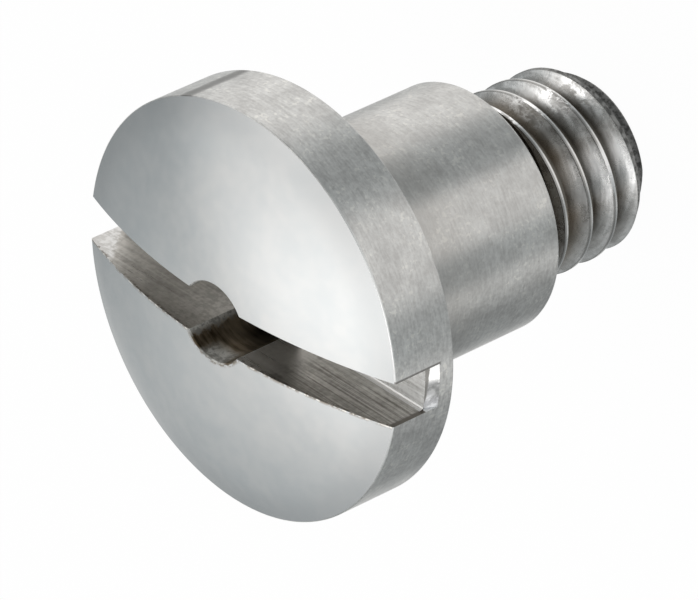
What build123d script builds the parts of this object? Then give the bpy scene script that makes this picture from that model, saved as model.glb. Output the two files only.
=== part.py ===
from build123d import *
from math import radians, sqrt, tan
import os

# A slotted shoulder screw, turned in one piece from steel bar. It has a domed head with a sawn
# driver slot and a drilled centre hole, a plain shoulder, a thread relief and a short thread.
# It stands on the flat end of its thread. The origin is on the axis at the head's underside,
# +Z points out of the head, and X runs along the driver slot.
# All lengths are in millimetres and all angles in degrees.

# Head
head_diameter = 13.0
rim_height = 2.25            # the head's straight side, without the dome
dome_height = 1.1            # how far the face rises from the rim to the middle

# Driver slot, sawn straight across the head
slot_width = 1.45
slot_depth = 1.25            # from the rim's top edge down to the slot's floor
slot_exit_height = 0.45      # bevel at both ends of the floor, measured down the rim
slot_exit_width = 0.12       # the same bevel, measured along the floor

# Centre hole, drilled from the dome
hole_diameter = 2.5
hole_edge_break = 0.04       # small bevel left at the mouth by deburring
hole_depth = 5.0             # from the rim's top edge to the end of the full bore
drill_point_angle = 118.0

# Shoulder
shoulder_diameter = 7.75
shoulder_length = 6.7
shoulder_edge_break = 0.08

# Thread relief, a groove turned between the shoulder and the thread
relief_diameter = 4.5
relief_width = 0.9

# Thread: metric M6, right-handed
thread_diameter = 5.9        # over the crests, with the usual tolerance below 6 mm
thread_pitch = 1.0
thread_length = 4.8          # from the shoulder's end face to the tip, with the relief
thread_flank_angle = 60.0
thread_start_angle = -93.0   # where the middle of the groove starts, seen from above
tip_bevel_width = 0.51       # bevel that leads the thread in, measured across the end face
tip_bevel_height = 0.68      # the same bevel, measured along the thread
tool_overrun = 0.6           # how far cutting tools run out past the metal

# Standard thread form, as shares of the pitch and of the sharp triangle's height
crest_share = 1 / 8
straight_flank_share = 5 / 8
full_depth_share = 17 / 24
flank_slope = tan(radians(thread_flank_angle / 2))
sharp_height = thread_pitch / 2 / flank_slope
flank_depth = sharp_height * straight_flank_share
thread_depth = sharp_height * full_depth_share
groove_width = thread_pitch * (1 - crest_share)
root_width = groove_width - 2 * flank_depth * flank_slope
root_flat = root_width / 2             # the root's corners are bevelled in place of a round
cutter_overrun = thread_pitch / 10     # low enough that neighbouring turns of the cut don't touch
cutter_width = groove_width + 2 * cutter_overrun * flank_slope

# Radii
head_radius = head_diameter / 2
shoulder_radius = shoulder_diameter / 2
relief_radius = relief_diameter / 2
thread_radius = thread_diameter / 2
hole_radius = hole_diameter / 2
mouth_radius = hole_radius + hole_edge_break
dome_radius = (head_radius ** 2 + dome_height ** 2) / (2 * dome_height)

# Heights
dome_top = rim_height + dome_height
slot_floor = rim_height - slot_depth
hole_mouth = dome_top - dome_radius + sqrt(dome_radius ** 2 - mouth_radius ** 2)
hole_end = rim_height - hole_depth
shoulder_end = -shoulder_length
relief_end = shoulder_end - relief_width
tip_end = shoulder_end - thread_length

# The thread's groove runs down a helix from inside the relief, where it starts at least half its
# own width below the shoulder, to past the tip.
groove_start = shoulder_end - max(relief_width, groove_width) / 2
groove_run = groove_start - tip_end + thread_pitch + tool_overrun
start_side = Vector(1, 0, 0).rotate(Axis.Z, thread_start_angle)
thread_plane = Plane(origin=(0, 0, groove_start), x_dir=start_side, z_dir=(0, 0, -1))
groove_path = thread_plane * Helix(thread_pitch, groove_run, thread_radius)
groove_plane = Plane(origin=groove_path @ 0, x_dir=start_side, z_dir=-thread_plane.y_dir)

with BuildPart() as mounting_screw:
    # The turned blank in one profile: dome, rim, shoulder, relief and thread stock
    with BuildSketch(Plane.YZ):
        with BuildLine():
            RadiusArc((0, dome_top), (head_radius, rim_height), dome_radius)
            Polyline(
                (head_radius, rim_height),
                (head_radius, 0),
                (shoulder_radius, 0),
                (shoulder_radius, shoulder_end + shoulder_edge_break),
                (shoulder_radius - shoulder_edge_break, shoulder_end),
                (relief_radius, shoulder_end),
                (relief_radius, relief_end),
                (thread_radius, relief_end),
                (thread_radius, tip_end + tip_bevel_height),
                (thread_radius - tip_bevel_width, tip_end),
                (0, tip_end),
                (0, dome_top),
            )
        make_face()
    revolve(axis=Axis.Z)

    # Driver slot, sawn across the head, with a steep bevel from its floor to the rim at both ends
    with BuildSketch(Plane.XY.offset(slot_floor)):
        Rectangle(head_diameter + 2 * tool_overrun, slot_width)
    extrude(amount=slot_depth + dome_height + tool_overrun, mode=Mode.SUBTRACT)
    floor = mounting_screw.faces(Select.LAST).sort_by(Axis.Z)[0]
    floor_ends = floor.edges().filter_by(GeomType.CIRCLE)
    chamfer(floor_ends, length=slot_exit_width, length2=slot_exit_height, reference=floor)

    # Centre hole with a bevelled mouth and the cone that a drill leaves
    with BuildSketch(Plane.YZ):
        with BuildLine():
            Polyline(
                (0, dome_top + tool_overrun),
                (mouth_radius + dome_top - hole_mouth + tool_overrun, dome_top + tool_overrun),
                (hole_radius, hole_mouth - hole_edge_break),
                (hole_radius, hole_end),
                (0, hole_end - hole_radius / tan(radians(drill_point_angle / 2))),
                close=True,
            )
        make_face()
    revolve(axis=Axis.Z, mode=Mode.SUBTRACT)

    # Thread groove, cut from inside the relief down past the tip
    with BuildSketch(groove_plane):
        with BuildLine():
            Polyline(
                (cutter_overrun, cutter_width / 2),
                (-flank_depth, root_width / 2),
                (-thread_depth, root_flat / 2),
                (-thread_depth, -root_flat / 2),
                (-flank_depth, -root_width / 2),
                (cutter_overrun, -cutter_width / 2),
                close=True,
            )
        make_face()
    sweep(path=groove_path, is_frenet=True, mode=Mode.SUBTRACT)

mounting_screw.part.label = "mounting_screw"

os.makedirs("parts", exist_ok=True)
export_step(mounting_screw.part, "parts/mounting_screw.step")
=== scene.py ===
# %% [markdown]
# # A slotted shoulder screw in plain steel
# The screw is one turned piece, and it stands on the flat end of its thread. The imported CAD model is
# the frame: it gives the overall size and the place, in metres, with +Z up and the driver slot along X.
# Here the same screw is turned again with finer curves, so that polished steel shows no facets, and each
# kind of cut gets its own finish: the polished dome, the turned sides, the sawn slot, the drilled hole
# and the cut thread.

# %% Load the frame
from math import asin, cos, pi, radians, sin, sqrt, tan

import bmesh
import bpy
from mathutils import Euler, Matrix, Vector


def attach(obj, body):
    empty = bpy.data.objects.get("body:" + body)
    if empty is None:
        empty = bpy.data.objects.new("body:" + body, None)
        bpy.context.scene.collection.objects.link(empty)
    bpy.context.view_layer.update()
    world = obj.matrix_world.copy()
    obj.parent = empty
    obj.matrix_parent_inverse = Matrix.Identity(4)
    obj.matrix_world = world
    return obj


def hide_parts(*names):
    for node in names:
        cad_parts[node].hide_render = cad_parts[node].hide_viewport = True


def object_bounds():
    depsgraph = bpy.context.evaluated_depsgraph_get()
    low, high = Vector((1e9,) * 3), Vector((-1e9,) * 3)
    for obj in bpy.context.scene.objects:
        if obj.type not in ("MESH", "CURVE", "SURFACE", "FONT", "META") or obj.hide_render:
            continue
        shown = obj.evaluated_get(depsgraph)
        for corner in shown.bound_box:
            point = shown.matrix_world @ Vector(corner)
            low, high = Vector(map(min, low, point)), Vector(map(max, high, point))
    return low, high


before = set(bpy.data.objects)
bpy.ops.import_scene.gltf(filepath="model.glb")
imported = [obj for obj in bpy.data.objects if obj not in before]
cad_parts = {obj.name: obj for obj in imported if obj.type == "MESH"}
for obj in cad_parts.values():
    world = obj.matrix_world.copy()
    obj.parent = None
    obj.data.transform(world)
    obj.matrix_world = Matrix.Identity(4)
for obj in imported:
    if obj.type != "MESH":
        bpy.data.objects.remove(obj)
cad_low, cad_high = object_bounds()
mm = 0.001
print("the frame has", list(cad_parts), "and is", round((cad_high.z - cad_low.z) / mm, 2), "mm tall")

# %% [markdown]
# ## Sizes
# These are the driving sizes of the CAD source. The head's diameter and the tip's height are read from
# the frame, and the rest are sizes of single cuts that a bounding box can't give. Three are finer than
# the CAD goes: the roll of the dome's edge, the break of the head's lower edge and the fillet at the
# foot of the slot's walls.

# %% Name the sizes
head_radius = cad_high.y
tip_end = cad_low.z
rim_height = 2.25 * mm
dome_height = 1.1 * mm
dome_edge_roll = 0.035 * mm
head_edge_break = 0.05 * mm
slot_half_width = 1.45 / 2 * mm
slot_floor = rim_height - 1.25 * mm
slot_foot_radius = 0.11 * mm
slot_exit_height = 0.45 * mm
slot_exit_width = 0.12 * mm
slot_exit_end = slot_floor - slot_exit_height
hole_radius = 1.25 * mm
hole_edge_break = 0.04 * mm
hole_end = rim_height - 5.0 * mm
drill_half_angle = radians(118 / 2)
shoulder_radius = 7.75 / 2 * mm
shoulder_end = -6.7 * mm
shoulder_edge_break = 0.08 * mm
relief_radius = 4.5 / 2 * mm
relief_end = shoulder_end - 0.9 * mm
thread_radius = 5.9 / 2 * mm
pitch = 1.0 * mm
thread_start_angle = radians(-93)
tip_bevel_width = 0.51 * mm
tip_bevel_height = 0.68 * mm
dome_top = rim_height + dome_height
dome_radius = (head_radius ** 2 + dome_height ** 2) / (2 * dome_height)
dome_centre = dome_top - dome_radius
print("dome radius", round(dome_radius / mm, 2), "mm")

# %% [markdown]
# ## The turned blank
# A lathe makes the whole outside in one chucking, so one profile is spun round the axis. The dome is an
# arc, and a spin makes that too: one vertex is turned about the centre of the dome's sphere. The other
# corners follow down the side, each extruded from the last.

# %% Spin the profile
turn_steps = 288
dome_steps = 28
merge_distance = 0.0002 * mm


def extend(mesh, last, corners):
    """Draws an edge to each (radius, height) corner in turn, and gives back the last vertex."""
    for radius, height in corners:
        last = bmesh.ops.extrude_vert_indiv(mesh, verts=[last])["verts"][0]
        last.co = (radius, 0, height)
    return last


def revolve(mesh):
    """Spins all that is drawn once round the axis, and joins the seam."""
    bmesh.ops.spin(
        mesh,
        geom=mesh.verts[:] + mesh.edges[:],
        cent=(0, 0, 0),
        axis=(0, 0, 1),
        angle=2 * pi,
        steps=turn_steps,
        use_merge=True,
    )
    bmesh.ops.remove_doubles(mesh, verts=mesh.verts, dist=merge_distance)
    bmesh.ops.recalc_face_normals(mesh, faces=mesh.faces)


blank = bmesh.new()
top = bmesh.ops.create_vert(blank, co=(0, 0, dome_top))["vert"][0]
bmesh.ops.spin(
    blank,
    geom=[top],
    cent=(0, 0, dome_centre),
    axis=(0, 1, 0),
    angle=asin(head_radius / dome_radius),
    steps=dome_steps,
)
side_corners = [
    (head_radius, 0),
    (shoulder_radius, 0),
    (shoulder_radius, shoulder_end),
    (relief_radius, shoulder_end),
    (relief_radius, relief_end),
    (thread_radius, relief_end),
    (thread_radius, tip_end + tip_bevel_height),
    (thread_radius - tip_bevel_width, tip_end),
    (0, tip_end),
]
extend(blank, max(blank.verts, key=lambda vertex: vertex.co.x), side_corners)
revolve(blank)
print("blank has", len(blank.faces), "faces")

# %% [markdown]
# ## Edges of the blank
# A sharp turned edge still has a narrow break that catches the light. The rings of edges at the three
# outer corners are bevelled: the dome's edge is rolled over by polishing, the head's lower edge is
# broken by a hair's width, and the shoulder has its own small chamfer.

# %% Break the turned edges
tolerance = 0.001 * mm


def ring(mesh, radius, height):
    """All edges of the circle with this radius and height."""
    return [
        edge
        for edge in mesh.edges
        if all(
            abs(vertex.co.xy.length - radius) < tolerance and abs(vertex.co.z - height) < tolerance
            for vertex in edge.verts
        )
    ]


def round_off(mesh, edges, width, segments):
    bmesh.ops.bevel(
        mesh, geom=edges, offset=width, segments=segments, profile=0.5, affect="EDGES", material=-1
    )
    print("rounded", len(edges), "edges by", round(width / mm, 3), "mm")


round_off(blank, ring(blank, head_radius, rim_height), dome_edge_roll, 2)
round_off(blank, ring(blank, head_radius, 0), head_edge_break, 2)
round_off(blank, ring(blank, shoulder_radius, shoulder_end), shoulder_edge_break, 2)

# %% [markdown]
# ## The cutters
# The saw, the file, the drill and the thread tool are solids of their own, and Boolean modifiers take
# them out of the blank. The saw and the file are spun discs, which two bisecting planes cut down to
# slabs as wide as the slot. The saw's lower edges are rounded, because its worn teeth leave a small
# fillet at the foot of each wall.

# %% Cutter for the slot
overrun = 0.6 * mm
cutter_reach = head_radius + overrun
cutter_top = dome_top + overrun


def spun_solid(corners):
    """A solid spun from a run of (radius, height) corners that starts and ends on the axis."""
    mesh = bmesh.new()
    first = bmesh.ops.create_vert(mesh, co=(corners[0][0], 0, corners[0][1]))["vert"][0]
    extend(mesh, first, corners[1:])
    revolve(mesh)
    return mesh


def slab(corners):
    """A spun disc that is cut down to the width of the slot."""
    mesh = spun_solid(corners)
    for side in (-1, 1):
        cut = bmesh.ops.bisect_plane(
            mesh,
            geom=mesh.verts[:] + mesh.edges[:] + mesh.faces[:],
            plane_co=(0, side * slot_half_width, 0),
            plane_no=(0, side, 0),
            clear_outer=True,
        )
        opening = [item for item in cut["geom_cut"] if isinstance(item, bmesh.types.BMEdge)]
        bmesh.ops.holes_fill(mesh, edges=opening)
    bmesh.ops.dissolve_limit(mesh, angle_limit=radians(0.1), verts=mesh.verts, edges=mesh.edges)
    return mesh


saw = slab(
    [(0, slot_floor), (cutter_reach, slot_floor), (cutter_reach, cutter_top), (0, cutter_top)]
)
foot_edges = [
    edge
    for edge in saw.edges
    if all(abs(vertex.co.z - slot_floor) < tolerance for vertex in edge.verts)
    and abs(edge.verts[0].co.x - edge.verts[1].co.x) > head_radius
]
round_off(saw, foot_edges, slot_foot_radius, 3)
bmesh.ops.recalc_face_normals(saw, faces=saw.faces)
for face in saw.faces:
    face.material_index = 1 if face.normal.z < -0.2 else 0
print("saw has", len(saw.faces), "faces")

# %% [markdown]
# The file follows the saw. Its disc stays just above the saw's floor and the fillets, and only near the
# rim does it slope steeply down, which leaves the bright bevel at both ends of the slot.

# %% Cutter for the ends of the slot
file_lift = slot_foot_radius + 0.01 * mm
file_flat_radius = head_radius - slot_exit_width * (1 + file_lift / slot_exit_height)
end_file = slab(
    [
        (0, slot_floor + file_lift),
        (file_flat_radius, slot_floor + file_lift),
        (head_radius, slot_exit_end),
        (cutter_reach, slot_exit_end),
        (cutter_reach, slot_floor + 2 * file_lift),
        (0, slot_floor + 2 * file_lift),
    ]
)
for face in end_file.faces:
    face.material_index = 0 if abs(face.normal.y) > 0.95 else 1
print("file has", len(end_file.faces), "faces")

# %% [markdown]
# The drill is spun as well. It widens above the dome, which breaks the edge of the hole's mouth, and it
# ends in the point of a twist drill.

# %% Cutter for the hole
mouth_radius = hole_radius + hole_edge_break
hole_mouth = dome_centre + sqrt(dome_radius ** 2 - mouth_radius ** 2)
drill = spun_solid(
    [
        (0, cutter_top),
        (mouth_radius + cutter_top - hole_mouth, cutter_top),
        (hole_radius, hole_mouth - hole_edge_break),
        (hole_radius, hole_end),
        (0, hole_end - hole_radius / tan(drill_half_angle)),
    ]
)
print("drill has", len(drill.faces), "faces")

# %% [markdown]
# ## The thread
# A thread tool follows a helix, so its cutter is the groove's section spun with a small drop at each
# step. The section is the metric one: 60 degrees between the flanks, a crest an eighth of the pitch
# wide, and a round root, which is again one vertex spun about a centre.

# %% Section of the groove
flank_slope = tan(radians(30))
sharp_height = pitch / 2 / flank_slope
flank_depth = sharp_height * 5 / 8
thread_depth = sharp_height * 17 / 24
groove_width = pitch * 7 / 8
root_width = groove_width - 2 * flank_depth * flank_slope
root_sag = thread_depth - flank_depth
root_radius = (root_width ** 2 / 4 + root_sag ** 2) / (2 * root_sag)
root_steps = 10
section_overrun = pitch / 10
section_width = groove_width + 2 * section_overrun * flank_slope

thread_tool = bmesh.new()
upper_root = bmesh.ops.create_vert(
    thread_tool, co=(thread_radius - flank_depth, 0, root_width / 2)
)["vert"][0]
root = bmesh.ops.spin(
    thread_tool,
    geom=[upper_root],
    cent=(thread_radius - thread_depth + root_radius, 0, 0),
    axis=(0, 1, 0),
    angle=-2 * asin(root_width / 2 / root_radius),
    steps=root_steps,
)
lower_root = next(item for item in root["geom_last"] if isinstance(item, bmesh.types.BMVert))
section_corners = [
    (thread_radius + section_overrun, -section_width / 2),
    (thread_radius + section_overrun, section_width / 2),
]
section_end = extend(thread_tool, lower_root, section_corners)
bmesh.ops.contextual_create(thread_tool, geom=[section_end, upper_root])
print("the groove is", round(thread_depth / mm, 2), "mm deep")

# %% [markdown]
# The section sets out in the middle of the relief and leaves below the tip, so the groove runs out of
# the metal at both ends.

# %% Cutter for the thread
groove_start = shoulder_end - (shoulder_end - relief_end) / 2
groove_turns = (groove_start - tip_end + pitch + overrun) / pitch
steps_per_turn = 96
groove_steps = round(groove_turns * steps_per_turn)
bmesh.ops.rotate(
    thread_tool,
    verts=thread_tool.verts,
    cent=(0, 0, 0),
    matrix=Matrix.Rotation(thread_start_angle, 3, "Z"),
)
bmesh.ops.translate(thread_tool, verts=thread_tool.verts, vec=(0, 0, groove_start))
bmesh.ops.spin(
    thread_tool,
    geom=thread_tool.verts[:] + thread_tool.edges[:],
    cent=(0, 0, 0),
    axis=(0, 0, 1),
    dvec=(0, 0, -pitch / steps_per_turn),
    angle=-2 * pi * groove_steps / steps_per_turn,
    steps=groove_steps,
)
bmesh.ops.holes_fill(thread_tool, edges=[edge for edge in thread_tool.edges if edge.is_boundary])
bmesh.ops.recalc_face_normals(thread_tool, faces=thread_tool.faces)
heights = [vertex.co.z / mm for vertex in thread_tool.verts]
print("thread tool runs from", round(max(heights), 2), "to", round(min(heights), 2), "mm")

# %% [markdown]
# ## Cutting
# The blank's faces get their finishes by height, from the dome down to the tip. Only the rolled edge of
# the dome is told by its slope, because it belongs to the turned sides.

# %% Give the blank its finishes
blank_finishes = ["polished_dome", "turned_steel", "relief_film_and_shade", "cut_thread", "rough_tip"]
finishes = {}
for name in blank_finishes + ["sawn_wall", "sawn_floor", "filed_bevel", "drilled_hole"]:
    finishes[name] = bpy.data.materials.new(name)
    finishes[name].use_nodes = True


def make_object(mesh, name, finish_names=()):
    data = bpy.data.meshes.new(name)
    mesh.to_mesh(data)
    mesh.free()
    for finish_name in finish_names:
        data.materials.append(finishes[finish_name])
    made = bpy.data.objects.new(name, data)
    bpy.context.scene.collection.objects.link(made)
    return made


def finish_at(face):
    """The finish of one of the blank's faces, from its height."""
    height = face.center.z
    if height > rim_height and face.normal.z > 0.9:
        return "polished_dome"
    if height > shoulder_end + tolerance:
        return "turned_steel"
    if height > relief_end - tolerance:
        return "relief_film_and_shade"
    if height > tip_end + tip_bevel_height:
        return "cut_thread"
    return "rough_tip"


screw = make_object(blank, "screw", blank_finishes)
for face in screw.data.polygons:
    face.material_index = blank_finishes.index(finish_at(face))
print("the blank has", len(blank_finishes), "of", len(finishes), "finishes")

# %% [markdown]
# Each cutter brings the finish of the faces that it leaves. The modifiers run in the order of the work,
# saw, file, drill and thread tool, and then their result becomes the screw's own mesh.

# %% Cut the blank
cutters = [
    make_object(saw, "saw", ["sawn_wall", "sawn_floor"]),
    make_object(end_file, "file", ["sawn_wall", "filed_bevel"]),
    make_object(drill, "drill", ["drilled_hole"]),
    make_object(thread_tool, "thread_tool", ["cut_thread"]),
]
for cutter in cutters:
    cut = screw.modifiers.new("cut " + cutter.name, "BOOLEAN")
    cut.operation = "DIFFERENCE"
    cut.solver = "EXACT"
    cut.material_mode = "TRANSFER"
    cut.object = cutter

depsgraph = bpy.context.evaluated_depsgraph_get()
cut_mesh = bpy.data.meshes.new_from_object(screw.evaluated_get(depsgraph))
screw.modifiers.clear()
screw.data = cut_mesh
for cutter in cutters:
    bpy.data.objects.remove(cutter)
cut_mesh.shade_smooth()
cut_mesh.set_sharp_from_angle(angle=radians(14))
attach(screw, "root")
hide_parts("mounting_screw")
print("screw has", len(cut_mesh.polygons), "faces and", [item.name for item in cut_mesh.materials])

# %% [markdown]
# ## A way to write shader maths
# A finish is a handful of sums on patterns, so a wrapped socket overloads the plain operators and each
# sum adds its Math node. Every other node comes from one method, which takes the node's type, its
# settings and the values or links of its sockets.

# %% Wrap a socket
class Wire:
    """One socket's output that takes part in plain arithmetic."""

    def __init__(self, tree, socket):
        self.tree = tree
        self.socket = socket

    def add(self, kind, settings=(), inputs=(), output=0):
        node = self.tree.nodes.new(kind)
        for name, value in dict(settings).items():
            setattr(node, name, value)
        for name, value in dict(inputs).items():
            if isinstance(value, Wire):
                self.tree.links.new(value.socket, node.inputs[name])
            else:
                node.inputs[name].default_value = value
        return Wire(self.tree, node.outputs[output])

    def maths(self, operation, *values):
        return self.add("ShaderNodeMath", {"operation": operation}, dict(enumerate(values)))

    def __add__(self, other):
        return self.maths("ADD", self, other)

    __radd__ = __add__

    def __sub__(self, other):
        return self.maths("SUBTRACT", self, other)

    def __rsub__(self, other):
        return self.maths("SUBTRACT", other, self)

    def __mul__(self, other):
        return self.maths("MULTIPLY", self, other)

    __rmul__ = __mul__

    def between(self, low, high):
        """0 below low, 1 above high, and a smooth ramp from one to the other."""
        ends = {"Value": self, "From Min": low, "From Max": high}
        return self.add("ShaderNodeMapRange", {"interpolation_type": "SMOOTHSTEP"}, ends)

    def band(self, low, rise, fall, high):
        """1 from rise to fall, and a smooth ramp down to 0 at low and at high."""
        return self.between(low, rise) * (1 - self.between(fall, high))

    def feed(self, node, name):
        self.tree.links.new(self.socket, node.inputs[name])


print("sockets can be wrapped")

# %% [markdown]
# The patterns and masks of all finishes are made by a few functions. Lengths are in the object's own
# metres, so that a mask can be tied to the sizes above.

# %% Patterns and masks
def vector_maths(wire, operation, *values, output=0):
    return wire.add("ShaderNodeVectorMath", {"operation": operation}, dict(enumerate(values)), output)


def coordinate(places, name):
    """One coordinate: X along the slot, Y across it, or Z, the height."""
    return places.add("ShaderNodeSeparateXYZ", inputs={0: places}, output=name)


def level(places):
    """The same vectors with no height in them."""
    return vector_maths(places, "MULTIPLY", places, (1, 1, 0))


def direction(vectors):
    return vector_maths(vectors, "NORMALIZE", vectors)


def length(vectors):
    return vector_maths(vectors, "LENGTH", vectors, output="Value")


def scaled(places, along_x, across_x, up):
    """Object coordinates in pattern units: so many of them per mm along X, Y and Z."""
    scale = (along_x / mm, across_x / mm, up / mm)
    return places.add("ShaderNodeMapping", inputs={"Vector": places, "Scale": scale})


def noise(places, detail=2.0, roughness=0.5):
    inputs = {"Vector": places, "Scale": 1.0, "Detail": detail, "Roughness": roughness}
    return places.add("ShaderNodeTexNoise", inputs=inputs)


def facing(azimuth, elevation=0.0):
    """The direction with this bearing and height, in degrees."""
    a, e = radians(azimuth), radians(elevation)
    return Vector((cos(a) * cos(e), sin(a) * cos(e), sin(e)))


def toward(ways, centre, full, edge):
    """1 within so many degrees of a direction, fading to 0 at the edge."""
    near = vector_maths(ways, "DOT_PRODUCT", ways, centre, output="Value")
    return near.between(cos(radians(edge)), cos(radians(full)))


def tint(wire, low, high):
    """A colour between two others, plain or wired, by a value from 0 to 1."""
    ends = [end if isinstance(end, Wire) else (*end, 1) for end in (low, high)]
    inputs = {"Factor": wire, 6: ends[0], 7: ends[1]}
    return wire.add("ShaderNodeMix", {"data_type": "RGBA"}, inputs, output=2)


def start_finish(name):
    """The Principled node of a finish, and its Object coordinates as a Wire."""
    tree = finishes[name].node_tree
    places = Wire(tree, tree.nodes.new("ShaderNodeTexCoord").outputs["Object"])
    return tree.nodes["Principled BSDF"], places


def roughen(shader, heights, strength, depth):
    """Feeds a bump from a pattern of heights."""
    inputs = {"Strength": strength, "Distance": depth, "Height": heights}
    heights.add("ShaderNodeBump", inputs=inputs).feed(shader, "Normal")


print("patterns and masks are ready")

# %% [markdown]
# ## Turned sides
# The rim, the shoulder and the underside come straight off the lathe. The tool leaves fine rings round
# the axis, so the metal is rougher along the axis than round it: anisotropy with a quarter turn draws
# each reflection out into a band along the axis. Over the rings lie the grain of the bar and short rub
# marks, which run round the axis too.

# %% Turned metal
def finish_turned(name, dark, light, warm, roughness):
    """Feeds all but the base colour, and gives that back to be changed first."""
    shader, places = start_finish(name)
    rings = noise(scaled(places, 0.8, 0.8, 16.0), detail=3.0, roughness=0.6)
    rubs = noise(scaled(places, 2.2, 2.2, 13.0), detail=2.0, roughness=0.6)
    grain = noise(scaled(places, 8.0, 8.0, 9.0), detail=3.0, roughness=0.65)
    blots = noise(scaled(places, 3.6, 3.6, 4.2), detail=3.0, roughness=0.6)
    clouds = noise(scaled(places, 1.1, 1.1, 0.8), detail=3.0)
    dots = noise(scaled(places, 7.5, 7.5, 8.0), detail=2.0)
    mottle = rings * 0.08 + rubs * 0.22 + grain * 0.30 + blots * 0.18 + clouds * 0.22
    metal = tint(mottle.between(0.36, 0.64), dark, light)
    specks = dots.between(0.55, 0.66) * clouds.between(0.40, 0.60)
    (roughness + (grain - 0.5) * 0.18 + (blots - 0.5) * 0.14).feed(shader, "Roughness")
    shader.inputs["Metallic"].default_value = 1
    shader.inputs["Anisotropic"].default_value = 0.92
    shader.inputs["Anisotropic Rotation"].default_value = 0.25
    roughen(shader, rings * 0.15 + rubs * 0.20 + grain * 0.35 + blots * 0.30, 0.16, 0.02 * mm)
    return shader, places, tint(specks * 0.45, metal, warm)


shader, places, metal = finish_turned(
    "turned_steel",
    dark=(0.47, 0.465, 0.455),
    light=(0.74, 0.74, 0.725),
    warm=(0.93, 0.915, 0.86),
    roughness=0.34,
)
print("turned metal ready")

# %% [markdown]
# Four marks lie on that metal. The shoulder is a little darker, and the half of it next to the head is
# painted darker still, a painted shade under the head. The rolled edge of the dome has a painted
# highlight on one side. A dark line painted along the axis on the rim is a painted reflection, and a
# thin dark line painted beside the slot, on its -Y side, is a painted shadow.

# %% Marks on the turned sides
across = coordinate(places, "Y") * -1
height = coordinate(places, "Z")
outward = direction(level(places))
below_head = 1 - height.between(-0.1 * mm, 0.0)
# Painted shade: the shoulder is darker, most of all next to the head.
painted_head_shade = (height.between(-4.2 * mm, -2.4 * mm) * 0.28 + 0.10) * below_head
roll_start = rim_height - dome_edge_roll
# Painted highlight on one side of the dome's rolled edge.
painted_edge_highlight = height.between(roll_start, roll_start + 0.003 * mm) * toward(outward, facing(-165), 15, 50)
# Painted reflection: a dark line along the axis on the rim.
painted_dark_reflection = toward(outward, facing(-66.6), 0.3, 3.2) * height.between(0.0, 0.05 * mm)
# Painted shadow: a thin dark line on the rim beside the slot's -Y side.
burr_and_painted_shadow = across.band(
    slot_half_width - 0.1 * mm,
    slot_half_width,
    slot_half_width + 0.04 * mm,
    slot_half_width + 0.08 * mm,
)
burr_and_painted_shadow = burr_and_painted_shadow * height.between(slot_exit_end - 0.1 * mm, slot_exit_end)
metal = tint(painted_head_shade, metal, (0.42, 0.40, 0.375))
metal = tint(painted_edge_highlight * 0.85, metal, (0.97, 0.97, 0.96))
metal = tint(painted_dark_reflection * 0.75, metal, (0.15, 0.145, 0.14))
tint(burr_and_painted_shadow * 0.8, metal, (0.16, 0.15, 0.14)).feed(shader, "Base Color")
print("turned sides finished")

# %% [markdown]
# ## Thread relief
# The narrow groove behind the shoulder holds dark cutting oil and lies in deep shade, so it gets the
# turned finish in a very dark brown, partly painted shade.

# %% Finish of the relief
# Painted shade over brown oil: the groove's metal is painted very dark.
shader, places, metal = finish_turned(
    "relief_film_and_shade",
    dark=(0.05, 0.04, 0.03),
    light=(0.22, 0.20, 0.165),
    warm=(0.30, 0.27, 0.20),
    roughness=0.42,
)
metal.feed(shader, "Base Color")
print("relief finished")

# %% [markdown]
# ## Polished dome
# The face was polished after turning. It is much smoother than the sides, with only a faint cloudiness,
# and it is painted a little darker toward the rim, a painted shade. Sawing and drilling came later. On
# the
# +Y side they left a ragged row of dark flecks along the edges of both cuts, and painted glints of light
# lie along the slot's lip, where it was turned up.

# %% Finish of the dome
shader, places = start_finish("polished_dome")
clouds = noise(scaled(places, 0.7, 0.7, 0.7), detail=2.0)
wipes = noise(scaled(places, 2.4, 2.4, 2.4), detail=3.0)
chips = noise(scaled(places, 5.0, 5.0, 5.0), detail=3.0, roughness=0.7)
sparks = noise(scaled(places, 4.0, 4.0, 4.0), detail=2.0, roughness=0.7)
across = coordinate(places, "Y")
radius = length(level(places))
near_slot = 1 - across.between(slot_half_width + 0.01 * mm, slot_half_width + 0.11 * mm)
near_hole = 1 - radius.between(mouth_radius + 0.01 * mm, mouth_radius + 0.11 * mm)
near_cut = places.maths("MAXIMUM", near_slot, near_hole)
flecks = near_cut * across.between(0.3 * mm, 0.5 * mm) * chips.between(0.42, 0.54)
lip = across.band(
    slot_half_width - 0.1 * mm,
    slot_half_width,
    slot_half_width + 0.03 * mm,
    slot_half_width + 0.06 * mm,
)
# Painted glints of light along the slot's lip on the +Y side.
painted_glints = lip * sparks.between(0.50, 0.58)
shade = clouds * 0.6 + wipes * 0.4
polish = tint(shade.between(0.3, 0.7), (0.575, 0.595, 0.603), (0.63, 0.638, 0.638))
# Painted shade: the dome is painted darker toward the rim.
polish = tint(radius.between(5.2 * mm, 6.4 * mm) * 0.5, polish, (0.46, 0.47, 0.475))
polish = tint(flecks, polish, (0.30, 0.27, 0.23))
tint(painted_glints, polish, (0.84, 0.82, 0.77)).feed(shader, "Base Color")
(0.20 + (wipes - 0.5) * 0.08 + flecks * 0.2).feed(shader, "Roughness")
shader.inputs["Metallic"].default_value = 1
print("dome finished")

# %% [markdown]
# ## Sawn slot
# The saw ran along X, so its scores run along X too. They are faint for most of the way and deep toward
# the -X end, where the blade shook. The -X half of each wall is lighter and the +X half is painted
# darker, a painted shade, up to a corner at the +X end that is painted pale, a painted reflection.

# %% Metal of the slot's walls
def saw_marks(places, along):
    """Scores that run along the slot, and the grain between them."""
    scores = noise(scaled(places, along, 8.0, 8.0), detail=3.0, roughness=0.65)
    grain = noise(scaled(places, 6.0, 6.0, 6.0), detail=3.0, roughness=0.65)
    return scores, grain


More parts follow.
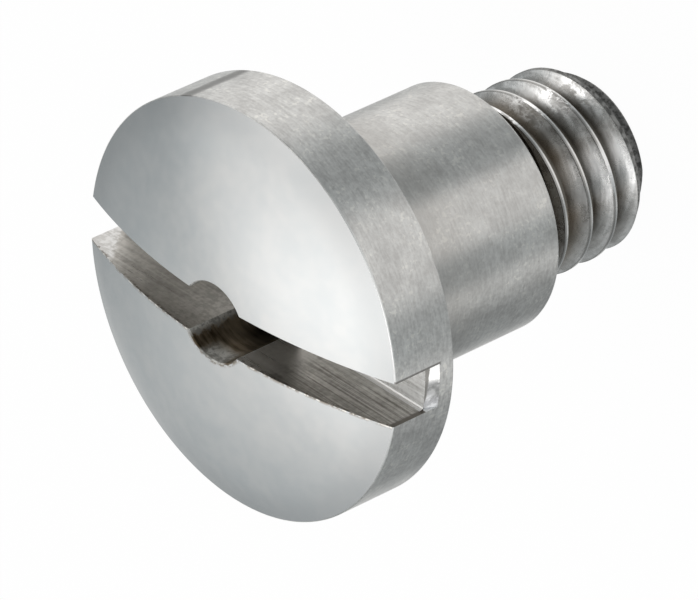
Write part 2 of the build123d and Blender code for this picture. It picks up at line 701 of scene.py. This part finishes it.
shader, places = start_finish("sawn_wall")
scores, grain = saw_marks(places, 0.4)
fine = noise(scaled(places, 0.15, 11.0, 11.0), detail=2.0, roughness=0.6)
clouds = noise(scaled(places, 0.8, 0.8, 0.8), detail=2.0)
along = coordinate(places, "X")
back = 0 - along
height = coordinate(places, "Z")
ragged = (grain - 0.5) * 0.5 * mm
mottle = scores * 0.35 + grain * 0.35 + clouds * 0.3
bare = tint(mottle.between(0.38, 0.62), (0.33, 0.315, 0.295), (0.64, 0.625, 0.595))
# Painted shade: the +X half of each wall is darker.
painted_shade_half = tint(mottle.between(0.35, 0.65), (0.27, 0.26, 0.24), (0.50, 0.48, 0.45))
# Painted reflection: the upper corner at the +X end is pale.
painted_pale_corner = tint(grain.between(0.40, 0.60), (0.53, 0.52, 0.505), (0.68, 0.675, 0.665))
metal = tint(along.between(-1.5 * mm, 1.0 * mm), bare, painted_shade_half)
metal = tint((along + height * 0.76 + ragged).between(7.05 * mm, 7.35 * mm), metal, painted_pale_corner)
depth = back.between(2.0 * mm, 3.2 * mm) * 0.75 + 0.20
metal = tint(fine.between(0.54, 0.60) * depth * 0.40, metal, (0.84, 0.82, 0.78))
metal = tint((1 - fine.between(0.42, 0.48)) * depth * 0.60, metal, (0.16, 0.148, 0.13))
roughen(shader, scores * 0.5 + grain * 0.5, 0.35, 0.03 * mm)
(0.32 + (scores - 0.5) * 0.3).feed(shader, "Roughness")
print("slot walls have their metal")

# %% [markdown]
# The drill rubbed the walls light beside the hole. Just behind it, on the -X side, the wall is painted
# lighter still, a painted light that lifts the shade there, and the drill tore chips from the corner.
# Dark specks under the lip of the dome are painted shadows. At the ends of the slot the walls reach
# below the floor, where the file left them bright and they are painted plain white, a painted light, and
# at the -X end they carry a dark burr above the floor.

# %% Marks on the slot's walls
lip_depth = dome_radius - length(vector_maths(places, "SUBTRACT", places, (0, 0, dome_centre)))
beside_hole = 1 - places.maths("ABSOLUTE", along).between(1.2 * mm, 2.9 * mm)
beside_hole = beside_hole * (0.75 - height.between(1.6 * mm, 2.9 * mm) * 0.35)
rubbed_and_painted_light = tint(grain.between(0.4, 0.6), (0.50, 0.485, 0.46), (0.70, 0.68, 0.65))
# Painted light behind the hole, on the -X side, lifts the shade there.
painted_light_behind_hole = back.band(0.8 * mm, 1.0 * mm, 1.7 * mm, 2.6 * mm)
below_floor = 1 - height.between(slot_floor - 0.03 * mm, slot_floor - 0.01 * mm)
chips = grain.between(0.45, 0.55) * back.band(0.9 * mm, 1.0 * mm, 1.04 * mm, 1.12 * mm)
# Painted shadows: dark specks under the lip of the dome.
specks = (1 - lip_depth.between(0.03 * mm, 0.16 * mm)) * grain.between(0.50, 0.58)
burr_and_painted_shadow = (back + ragged * 0.2).between(head_radius - 0.26 * mm, head_radius - 0.16 * mm)
metal = tint(beside_hole, metal, rubbed_and_painted_light)
metal = tint(painted_light_behind_hole * 0.7, metal, (0.98, 0.95, 0.91))
# Painted light: the walls below the floor are plain white and not metallic.
metal = tint(below_floor, metal, (0.97, 0.97, 0.97))
metal = tint(chips, metal, (0.95, 0.945, 0.93))
metal = tint(specks * 0.8, metal, (0.13, 0.11, 0.09))
tint(burr_and_painted_shadow * (1 - below_floor), metal, (0.20, 0.185, 0.165)).feed(shader, "Base Color")
(1 - below_floor).feed(shader, "Metallic")
print("slot walls finished")

# %% [markdown]
# The floor of the slot is lighter than its walls, and the fillets at both sides of it are burnished.

# %% Finish of the slot's floor
shader, places = start_finish("sawn_floor")
scores, grain = saw_marks(places, 0.3)
mottle = scores * 0.7 + grain * 0.3
bare = tint(mottle.between(0.36, 0.60), (0.62, 0.61, 0.59), (1.0, 0.995, 0.98))
foot = coordinate(places, "Z").between(slot_floor + 0.001 * mm, slot_floor + 0.004 * mm)
tint(foot, bare, (1.0, 1.0, 1.0)).feed(shader, "Base Color")
(0.30 + (scores - 0.5) * 0.2).feed(shader, "Roughness")
(0.25 + foot * 0.75).feed(shader, "Metallic")
roughen(shader, scores, 0.3, 0.03 * mm)
print("slot floor finished")

# %% [markdown]
# The file left both ends of the slot bright, with a blue tinge toward +Y, a dull patch in the middle
# where it slipped, and a ragged dark line where its bevel meets the floor.

# %% Finish of the filed ends
shader, places = start_finish("filed_bevel")
slips = noise(scaled(places, 3.0, 3.0, 3.0), detail=3.0, roughness=0.6)
across = coordinate(places, "Y")
ragged = (slips - 0.5) * 0.12 * mm
ragged_height = coordinate(places, "Z") - across * 0.11 + ragged
brink = ragged_height.between(slot_floor - 0.10 * mm, slot_floor - 0.06 * mm)
stroke = across + ragged * 4
slipped = stroke.band(-0.34 * mm, -0.08 * mm, 0.22 * mm, 0.46 * mm)
tinged = stroke.between(-0.30 * mm, -0.10 * mm)
dull = tint(slips.between(0.4, 0.6), (0.26, 0.26, 0.255), (0.48, 0.48, 0.475))
blue = tint(slips.between(0.4, 0.6), (0.45, 0.455, 0.47), (0.80, 0.81, 0.83))
filed = tint(tinged, (0.97, 0.97, 0.965), blue)
filed = tint(slipped * 0.8, filed, dull)
tint(brink, filed, (0.24, 0.235, 0.225)).feed(shader, "Base Color")
(0.22 + slipped * 0.15).feed(shader, "Roughness")
shader.inputs["Metallic"].default_value = 1
print("slot ends finished")

# %% [markdown]
# ## Drilled hole
# Drilling leaves coarse rings on the wall and a brown film of burnt cutting oil. The film is left only
# on the +Y side, where it is painted darker farther down, a painted shade deep in the hole. Elsewhere
# the wall is rubbed dull and light, and near the mouth on the +Y side it is painted light, a painted
# reflection.

# %% Finish of the hole
shader, places = start_finish("drilled_hole")
rings = noise(scaled(places, 1.0, 1.0, 7.0), detail=3.0, roughness=0.6)
film = noise(scaled(places, 1.3, 1.3, 1.0), detail=2.0)
grain = noise(scaled(places, 6.0, 6.0, 6.0), detail=3.0, roughness=0.65)
across = coordinate(places, "Y")
height = coordinate(places, "Z")
mouth = (height + (film - 0.5) * 1.2 * mm).between(2.3 * mm, 3.0 * mm)
far_side = across.between(1.10 * mm, 1.22 * mm)
off_slot = (across + (grain - 0.5) * 0.5 * mm).between(
    slot_half_width + 0.06 * mm, slot_half_width + 0.24 * mm
)
# Painted reflection: the +Y wall near the mouth is light.
rubbed_and_painted_light = places.maths("MAXIMUM", mouth * far_side, 1 - off_slot)
# Painted shade: the +Y wall darkens farther down in the hole.
painted_depth_shade = (1 - height.between(1.3 * mm, 2.2 * mm)) * across.between(1.08 * mm, 1.24 * mm)
mottle = rings * 0.5 + film * 0.5
brown = tint(mottle.between(0.35, 0.65), (0.10, 0.07, 0.04), (0.44, 0.365, 0.27))
brown = tint(painted_depth_shade * 0.85, brown, (0.02, 0.016, 0.012))
grey = tint(grain.between(0.4, 0.6), (0.32, 0.31, 0.29), (0.66, 0.65, 0.62))
tint(rubbed_and_painted_light, brown, grey).feed(shader, "Base Color")
(0.36 + (rings - 0.5) * 0.2).feed(shader, "Roughness")
(1 - rubbed_and_painted_light * 0.6).feed(shader, "Metallic")
roughen(shader, rings * 0.6 + grain * 0.4, 0.3, 0.03 * mm)
print("hole finished")

# %% [markdown]
# ## Cut thread
# The thread tool cuts round the axis and tears the flanks a little, and the roots keep dark oil under a
# painted shade, most of all in the first turn, which the shoulder shades. The distance from the axis
# tells root from crest. One side is brushed and painted bright, a painted highlight with a painted sheen
# near the crests, and a darker band of painted shade lies beside it.

# %% Metal of the thread
shader, places = start_finish("cut_thread")
tears = noise(scaled(places, 3.2, 3.2, 4.5), detail=4.0, roughness=0.65)
lines = noise(scaled(places, 1.0, 1.0, 14.0), detail=2.0)
clouds = noise(scaled(places, 0.8, 0.8, 0.5), detail=2.0)
radius = length(level(places))
outward = direction(level(places))
height = coordinate(places, "Z")
first_turn = height.between(relief_end - 1.5 * mm, relief_end - 1.3 * mm)
flank = radius.between(thread_radius - 0.65 * mm, thread_radius - 0.45 * mm)
# Painted highlight: one side of the flanks is brushed and bright.
painted_flank_highlight = toward(outward, facing(-156), 3, 24) * (1 - first_turn * 0.5) * flank
# Roots are dark with oil and painted shade, deepest in the first turn under the shoulder.
from_root = radius + (clouds - 0.5) * 0.2 * mm - first_turn * 0.13 * mm
root_oil_and_shade = 1 - from_root.between(thread_radius - 0.62 * mm, thread_radius - 0.10 * mm)
root_oil_and_shade = root_oil_and_shade * (1 - painted_flank_highlight * 0.5)
# Painted sheen near the crests on that side.
sheen = toward(outward, facing(-152), 5, 16)
sheen = sheen * radius.between(thread_radius - 0.28 * mm, thread_radius - 0.14 * mm)
mottle = tears * 0.5 + lines * 0.5
brushed = tint(lines.between(0.4, 0.6), (0.74, 0.74, 0.74), (1.0, 1.0, 1.0))
metal = tint(mottle.between(0.36, 0.64), (0.48, 0.475, 0.465), (0.84, 0.84, 0.835))
metal = tint(painted_flank_highlight * 0.8, metal, brushed)
metal = tint(sheen, metal, (1.0, 1.0, 1.0))
# Painted shade: a darker band beside the bright side.
metal = tint(toward(outward, facing(-206), 14, 34) * 0.45, metal, (0.30, 0.295, 0.285))
metal = tint(root_oil_and_shade, metal, tint(first_turn, (0.11, 0.096, 0.078), (0.21, 0.185, 0.155)))
print("thread has its metal")

# %% [markdown]
# Three marks lie on that metal. The flat land of each crest is half dull and half light, and has a
# painted highlight on one side. Painted highlights in flakes show on one side of the flanks. The last
# part of the thread is rough and dark like the flat end, because the bar was parted off there.

# %% Marks on the thread
turn = places.maths("ARCTAN2", coordinate(places, "Y"), coordinate(places, "X")) - thread_start_angle
drop = (groove_start - height) * (1 / pitch)
phase = places.maths("FRACT", drop + turn * (1 / (2 * pi)) + 100)
crest = radius.between(thread_radius - 0.04 * mm, thread_radius - 0.005 * mm)
land = tint(phase.between(0.48, 0.52), (0.30, 0.295, 0.285), (0.66, 0.655, 0.645))
# Painted highlight on one side of the crest lands.
rubbed_and_painted_light = toward(outward, facing(-153), 6, 18) * (1 - first_turn)
land = tint(rubbed_and_painted_light, land, (0.80, 0.80, 0.80))
# Painted highlights in flakes on one side of the flanks.
painted_flake_highlights = toward(outward, facing(-99), 5, 16) * tears.between(0.46, 0.56)
painted_flake_highlights = painted_flake_highlights * radius.between(thread_radius - 0.45 * mm, thread_radius - 0.15 * mm)
dented = crest * (1 - height.between(tip_end + 0.92 * mm, tip_end + 1.0 * mm))
last_part = 1 - height.between(tip_end + 0.46 * mm, tip_end + 0.54 * mm)
end = places.maths("MAXIMUM", dented, last_part)
pits = noise(scaled(places, 5.0, 5.0, 5.0), detail=4.0, roughness=0.7)
rough = tint(pits.between(0.38, 0.60), (0.09, 0.088, 0.084), (0.34, 0.335, 0.325))
metal = tint(crest, metal, land)
metal = tint(painted_flake_highlights, metal, (0.95, 0.95, 0.95))
tint(end, metal, rough).feed(shader, "Base Color")
(0.28 + (tears - 0.5) * 0.3 - painted_flake_highlights * 0.1 + end * 0.22).feed(shader, "Roughness")
(1 - end * 0.85).feed(shader, "Metallic")
shader.inputs["Anisotropic"].default_value = 0.5
shader.inputs["Anisotropic Rotation"].default_value = 0.25
roughen(shader, tears * 0.75 + lines * 0.25, 0.4, 0.04 * mm)
print("thread finished")

# %% [markdown]
# The flat end is as the parting tool left it: dark, pitted and almost dull.

# %% Finish of the flat end
shader, places = start_finish("rough_tip")
pits = noise(scaled(places, 5.0, 5.0, 5.0), detail=4.0, roughness=0.7)
rough = tint(pits.between(0.40, 0.60), (0.07, 0.068, 0.064), (0.30, 0.295, 0.285))
rough.feed(shader, "Base Color")
shader.inputs["Roughness"].default_value = 0.5
shader.inputs["Metallic"].default_value = 0.1
roughen(shader, pits, 0.7, 0.05 * mm)
print("flat end finished")

# %% [markdown]
# ## Floor
# The floor is plain white and keeps a soft shadow of the screw. Most of its white is its own, which
# keeps that shadow light.

# %% Lay the floor
floor_mesh = bmesh.new()
bmesh.ops.create_grid(floor_mesh, x_segments=1, y_segments=1, size=1.0)
bmesh.ops.translate(floor_mesh, verts=floor_mesh.verts, vec=(0, 0, tip_end))
floor = make_object(floor_mesh, "floor")
floor.visible_glossy = False
white_floor = bpy.data.materials.new("white_floor")
white_floor.use_nodes = True
tree = white_floor.node_tree
tree.nodes.remove(tree.nodes["Principled BSDF"])
output = tree.nodes["Material Output"]
seen = Wire(tree, tree.nodes.new("ShaderNodeLightPath").outputs["Is Camera Ray"])
card = seen.add("ShaderNodeBsdfDiffuse", inputs={"Color": (0.9, 0.9, 0.9, 1)})
glow = seen.add("ShaderNodeEmission", inputs={"Color": (1, 1, 1, 1), "Strength": 1.0})
share = seen * 0.975
seen.add("ShaderNodeMixShader", inputs={"Fac": share, 1: card, 2: glow}).feed(output, "Surface")
floor.data.materials.append(white_floor)
print("floor at", round(tip_end / mm, 2), "mm")

# %% [markdown]
# ## Light
# Small polished parts are lit in a light tent: white cloth all round, with a few grey cards where the
# metal should show a darker band. The world stands in for the tent, and each card is a soft patch round
# one direction that makes the cloth darker or brighter. Below the horizon the tent is wall, whose cards
# have only a bearing and reach all the way down. Above it is roof, whose cards have a height too.

# %% Name the cards
wall_level = 1.06
wall_cards = [
    # bearing, full to, gone at (degrees), change
    (-95, 1, 33, -0.62),
    (169, 1, 22, -0.56),
    (108, 18, 50, -0.70),
    (8, 1, 11, -0.60),
    (-38, 8, 36, 0.06),
    (-171, 2, 10, -0.12),
]
roof_level = 0.44
roof_cards = [
    # bearing, height, full to, gone at (degrees), change
    (4, 69, 16, 38, 0.48),
    (60, 62, 3, 25, 0.22),
    (95, 35, 1, 70, 0.62),
    (87, 7, 1, 46, -0.56),
    (114, 36, 5, 24, -0.40),
    (135, 73, 5, 18, 1.70),
    (-35, 57, 6, 25, 0.70),
    (-34, 14, 6, 24, 0.90),
    (-40, 79, 2, 13, -0.40),
]
print("the tent has", len(wall_cards), "wall cards and", len(roof_cards), "roof cards")

# %% [markdown]
# One more card hangs low on the wall, where the filed -X end of the slot reflects it. The camera itself
# sees plain white instead of the tent.

# %% Build the light tent
tent = bpy.data.worlds.new("light_tent")
bpy.context.scene.world = tent
tent.use_nodes = True
tree = tent.node_tree
background = tree.nodes["Background"]
look = Wire(tree, tree.nodes.new("ShaderNodeTexCoord").outputs["Generated"])
seen = Wire(tree, tree.nodes.new("ShaderNodeLightPath").outputs["Is Camera Ray"])
bearing = direction(level(look))
walls = wall_level + toward(look, facing(147, -10), 4, 20) * 0.7
for azimuth, full, edge, change in wall_cards:
    walls = walls + toward(bearing, facing(azimuth), full, edge) * change
roof = roof_level
for azimuth, elevation, full, edge, change in roof_cards:
    roof = roof + toward(look, facing(azimuth, elevation), full, edge) * change
above = coordinate(look, "Z").between(-0.18, 0.06)
inside = walls * (1 - above) + roof * above
cloth = tint(inside.between(0.45, 1.05), (0.945, 0.99, 1.0), (1.0, 0.99, 0.975))
(inside * (1 - seen) + seen).feed(background, "Strength")
tint(seen, cloth, (1.0, 1.0, 1.0)).feed(background, "Color")
print("tent has", len(tree.nodes), "nodes")

# %% [markdown]
# ## Camera
# The camera looks down on the head from the front left, and it is rolled so that the screw's axis
# climbs to the upper right. A long lens keeps the perspective flat, as in a close product view.

# %% Place the camera
view_turn = radians(-48.47)
view_rise = radians(36.023)
view_roll = radians(-114.76)
view_distance = 226.37 * mm
view_point = Vector((-1.189, 0.341, -0.913)) * mm
camera = bpy.data.objects.new("camera", bpy.data.cameras.new("camera"))
bpy.context.scene.collection.objects.link(camera)
turn = Euler((pi / 2 - view_rise, 0, view_turn)).to_matrix() @ Matrix.Rotation(view_roll, 3, "Z")
stand = view_point + turn @ Vector((0, 0, view_distance))
camera.matrix_world = Matrix.Translation(stand) @ turn.to_4x4()
camera.data.lens = 405.26
camera.data.sensor_width = 36
camera.data.clip_start = 0.01
bpy.context.scene.camera = camera
print("camera is", round(view_distance / mm), "mm from the screw")

# %% [markdown]
# ## View transform
# The render uses the Standard view transform.

# %% Finish
bpy.context.scene.view_settings.view_transform = "Standard"
